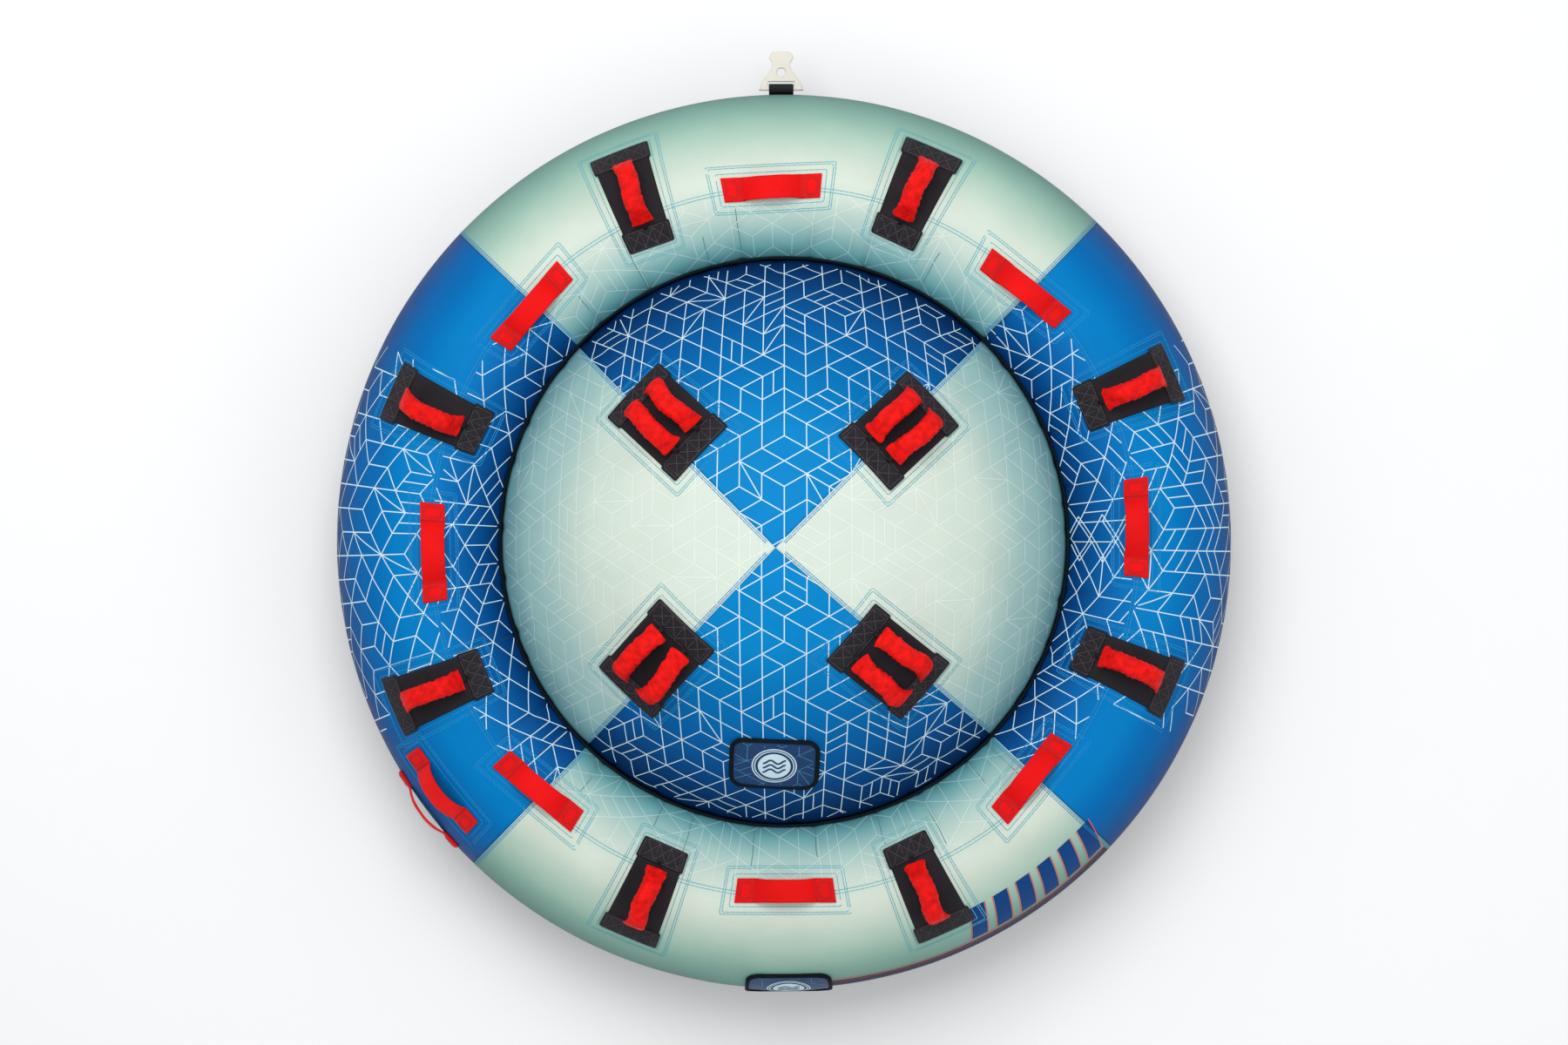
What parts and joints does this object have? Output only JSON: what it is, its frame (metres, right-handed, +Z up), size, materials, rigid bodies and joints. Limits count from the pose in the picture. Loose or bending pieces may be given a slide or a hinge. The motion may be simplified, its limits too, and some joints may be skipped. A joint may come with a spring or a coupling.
{
  "type": "towable tube",
  "caption": "Round inflatable deck tube with a domed centre, padded grips, webbing handles, zipped cover and moulded tow hook.",
  "frame": {"origin": "centre of the ring's flat underside, at the level of the floor it lies on", "axes": "+Z up through the dome; +Y towards the tow hook; +X to the right seen from above"},
  "size_m": [1.9, 1.9952, 0.7026],
  "materials": {
    "mint_fabric": "coated nylon, pale mint with a faint white line print",
    "blue_fabric": "coated nylon, blue with a white line print",
    "navy_fabric": "coated nylon, navy",
    "black_piping": "corded piping, black",
    "bladder": "flexible vinyl film",
    "white_plastic": "moulded, off-white, satin",
    "black_webbing": "woven nylon webbing, black",
    "red_webbing": "woven nylon webbing, red",
    "black_padding": "closed-cell foam pad, matte black",
    "red_sleeve": "padded fabric sleeve, red",
    "zip_tape": "coarse zip tape with moulded teeth, black"
  },
  "bodies": {
    "tube": {"ring_cover_front": "mint_fabric", "ring_cover_left": "blue_fabric", "ring_cover_rear": "mint_fabric", "ring_cover_right": "blue_fabric", "dome_cover_front": "blue_fabric", "dome_cover_left": "mint_fabric", "dome_cover_rear": "blue_fabric", "dome_cover_right": "mint_fabric", "bottom_cover": "navy_fabric", "seam_piping": "black_piping", "ring_bladder": "bladder", "dome_bladder": "bladder", "ring_valve": "white_plastic", "dome_valve": "white_plastic", "tow_webbing": "black_webbing", "zip_chain": "zip_tape", "strap_handle_1": "red_webbing", "strap_handle_2": "red_webbing", "strap_handle_3": "red_webbing", "strap_handle_4": "red_webbing", "strap_handle_5": "red_webbing", "strap_handle_6": "red_webbing", "strap_handle_7": "red_webbing", "strap_handle_8": "red_webbing", "side_strap_upper": "red_webbing", "side_strap_lower": "red_webbing", "ring_pad_1": "black_padding", "ring_pad_2": "black_padding", "ring_pad_3": "black_padding", "ring_pad_4": "black_padding", "ring_pad_5": "black_padding", "ring_pad_6": "black_padding", "ring_pad_7": "black_padding", "ring_pad_8": "black_padding", "dome_pad_1": "black_padding", "dome_pad_2": "black_padding", "dome_pad_3": "black_padding", "dome_pad_4": "black_padding"},
    "ring_grip_1": {"ring_grip_1": "red_sleeve"},
    "ring_grip_2": {"ring_grip_2": "red_sleeve"},
    "ring_grip_3": {"ring_grip_3": "red_sleeve"},
    "ring_grip_4": {"ring_grip_4": "red_sleeve"},
    "ring_grip_5": {"ring_grip_5": "red_sleeve"},
    "ring_grip_6": {"ring_grip_6": "red_sleeve"},
    "ring_grip_7": {"ring_grip_7": "red_sleeve"},
    "ring_grip_8": {"ring_grip_8": "red_sleeve"},
    "dome_grip_1a": {"dome_grip_1a": "red_sleeve"},
    "dome_grip_1b": {"dome_grip_1b": "red_sleeve"},
    "dome_grip_2a": {"dome_grip_2a": "red_sleeve"},
    "dome_grip_2b": {"dome_grip_2b": "red_sleeve"},
    "dome_grip_3a": {"dome_grip_3a": "red_sleeve"},
    "dome_grip_3b": {"dome_grip_3b": "red_sleeve"},
    "dome_grip_4a": {"dome_grip_4a": "red_sleeve"},
    "dome_grip_4b": {"dome_grip_4b": "red_sleeve"},
    "ring_valve_flap": {"ring_valve_flap": "navy_fabric"},
    "ring_valve_cap": {"ring_valve_cap": "white_plastic"},
    "dome_valve_flap": {"dome_valve_flap": "navy_fabric"},
    "dome_valve_cap": {"dome_valve_cap": "white_plastic"},
    "tow_hook": {"tow_hook": "white_plastic"},
    "zip_slider": {"zip_slider": "white_plastic"}
  },
  "joints": [
    {"name": "ring_grip_1_flop", "type": "hinge", "parent": "tube", "child": "ring_grip_1", "pos_m": [0.7158, 0.31554, 0.4296], "axis": [0.8959, 0.3728, -0.2419], "range_deg": [-43, 37]},
    {"name": "ring_grip_2_flop", "type": "hinge", "parent": "tube", "child": "ring_grip_2", "pos_m": [0.26931, 0.72268, 0.4321], "axis": [0.4053, 0.8941, -0.1904], "range_deg": [-40, 40]},
    {"name": "ring_grip_3_flop", "type": "hinge", "parent": "tube", "child": "ring_grip_3", "pos_m": [-0.31007, 0.7142, 0.43052], "axis": [-0.3331, 0.9157, -0.2246], "range_deg": [-37, 43]},
    {"name": "ring_grip_4_flop", "type": "hinge", "parent": "tube", "child": "ring_grip_4", "pos_m": [-0.72045, 0.27, 0.43247], "axis": [-0.8899, 0.4183, -0.1818], "range_deg": [-28, 52]},
    {"name": "ring_grip_5_flop", "type": "hinge", "parent": "tube", "child": "ring_grip_5", "pos_m": [-0.71957, -0.30683, 0.4296], "axis": [-0.8971, -0.3697, -0.2419], "range_deg": [-43, 37]},
    {"name": "ring_grip_6_flop", "type": "hinge", "parent": "tube", "child": "ring_grip_6", "pos_m": [-0.28564, -0.72825, 0.42961], "axis": [-0.3825, -0.8918, -0.2418], "range_deg": [-37, 43]},
    {"name": "ring_grip_7_flop", "type": "hinge", "parent": "tube", "child": "ring_grip_7", "pos_m": [0.29437, -0.71683, 0.43132], "axis": [0.4149, -0.8858, -0.2077], "range_deg": [-43, 37]},
    {"name": "ring_grip_8_flop", "type": "hinge", "parent": "tube", "child": "ring_grip_8", "pos_m": [0.71094, -0.2635, 0.43421], "axis": [0.9061, -0.4025, -0.1303], "range_deg": [-33, 47]},
    {"name": "dome_grip_1a_flop", "type": "hinge", "parent": "tube", "child": "dome_grip_1a", "pos_m": [0.21515, 0.2501, 0.61937], "axis": [0.6525, 0.6077, -0.4527], "range_deg": [-40, 7]},
    {"name": "dome_grip_1b_flop", "type": "hinge", "parent": "tube", "child": "dome_grip_1b", "pos_m": [0.25529, 0.20739, 0.61988], "axis": [0.6525, 0.6077, -0.4527], "range_deg": [-7, 40]},
    {"name": "dome_grip_2a_flop", "type": "hinge", "parent": "tube", "child": "dome_grip_2a", "pos_m": [-0.25972, 0.22594, 0.61184], "axis": [-0.6455, 0.5985, -0.4745], "range_deg": [-39, 8]},
    {"name": "dome_grip_2b_flop", "type": "hinge", "parent": "tube", "child": "dome_grip_2b", "pos_m": [-0.21936, 0.26843, 0.61053], "axis": [-0.6455, 0.5985, -0.4745], "range_deg": [-8, 39]},
    {"name": "dome_grip_3a_flop", "type": "hinge", "parent": "tube", "child": "dome_grip_3a", "pos_m": [-0.24034, -0.25901, 0.60685], "axis": [-0.5855, -0.648, -0.4872], "range_deg": [-34, 13]},
    {"name": "dome_grip_3b_flop", "type": "hinge", "parent": "tube", "child": "dome_grip_3b", "pos_m": [-0.28289, -0.21876, 0.60445], "axis": [-0.5855, -0.648, -0.4872], "range_deg": [-13, 34]},
    {"name": "dome_grip_4a_flop", "type": "hinge", "parent": "tube", "child": "dome_grip_4a", "pos_m": [0.23209, -0.22204, 0.62375], "axis": [0.7009, -0.5602, -0.4415], "range_deg": [-30, 17]},
    {"name": "dome_grip_4b_flop", "type": "hinge", "parent": "tube", "child": "dome_grip_4b", "pos_m": [0.194, -0.26639, 0.61955], "axis": [0.7009, -0.5602, -0.4415], "range_deg": [-17, 30]},
    {"name": "ring_flap_open", "type": "hinge", "parent": "tube", "child": "ring_valve_flap", "pos_m": [0.00947, -0.90475, 0.35879], "axis": [-0.9999, -0.0105, 0], "range_deg": [0, 110]},
    {"name": "ring_cap_open", "type": "hinge", "parent": "tube", "child": "ring_valve_cap", "pos_m": [0.00965, -0.92183, 0.32258], "axis": [-0.9999, -0.0105, 0], "range_deg": [0, 110]},
    {"name": "dome_flap_open", "type": "hinge", "parent": "tube", "child": "dome_valve_flap", "pos_m": [-0.01744, -0.39936, 0.57619], "axis": [-0.999, 0.0436, 0], "range_deg": [0, 110]},
    {"name": "dome_cap_open", "type": "hinge", "parent": "tube", "child": "dome_valve_cap", "pos_m": [-0.01867, -0.42769, 0.54731], "axis": [-0.999, 0.0436, 0], "range_deg": [0, 110]},
    {"name": "hook_swing", "type": "hinge", "parent": "tube", "child": "tow_hook", "pos_m": [-0.006, 0.963, 0.235], "axis": [1, 0, 0], "range_deg": [-75, 75]},
    {"name": "zip_run", "type": "hinge", "parent": "tube", "child": "zip_slider", "pos_m": [0, 0, 0.178], "axis": [0, 0, 1], "range_deg": [-112, 0]}
  ],
  "couplings": [
    {"joint": "ring_cap_open", "follows": "ring_flap_open", "ratio": 1},
    {"joint": "dome_cap_open", "follows": "dome_flap_open", "ratio": 1}
  ]
}
